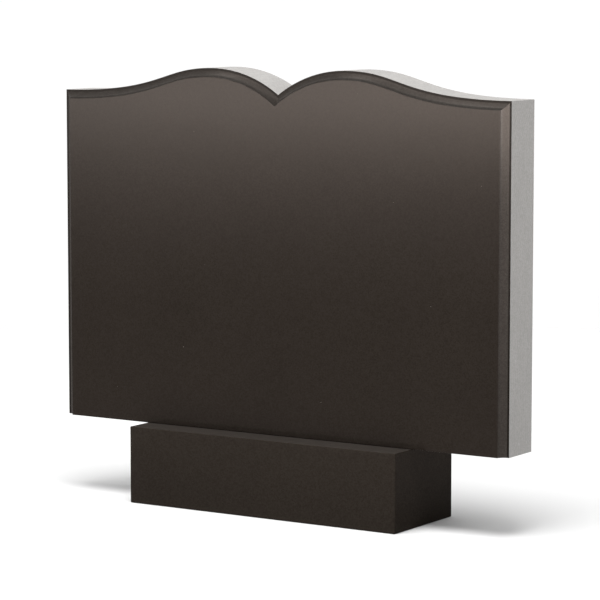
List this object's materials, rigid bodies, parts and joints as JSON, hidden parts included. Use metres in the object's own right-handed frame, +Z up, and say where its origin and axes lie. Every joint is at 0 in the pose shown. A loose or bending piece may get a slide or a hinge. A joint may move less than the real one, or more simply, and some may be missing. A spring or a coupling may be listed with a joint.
{
  "type": "headstone",
  "caption": "Upright granite headstone with an open-book top, a coved edge round its polished face and sawn sides, standing on a low rectangular plinth.",
  "frame": {"origin": "middle of the plinth's underside, on the surface that the stone stands on", "axes": "+X along the slab's width to the right as seen from the front, +Y towards the back, +Z up; the polished face looks along -Y"},
  "size_m": [1, 0.21, 0.8453],
  "materials": {
    "slab_granite": "polished",
    "plinth_granite": "polished"
  },
  "bodies": {
    "root": {"slab": "slab_granite", "plinth": "plinth_granite"}
  },
  "joints": []
}
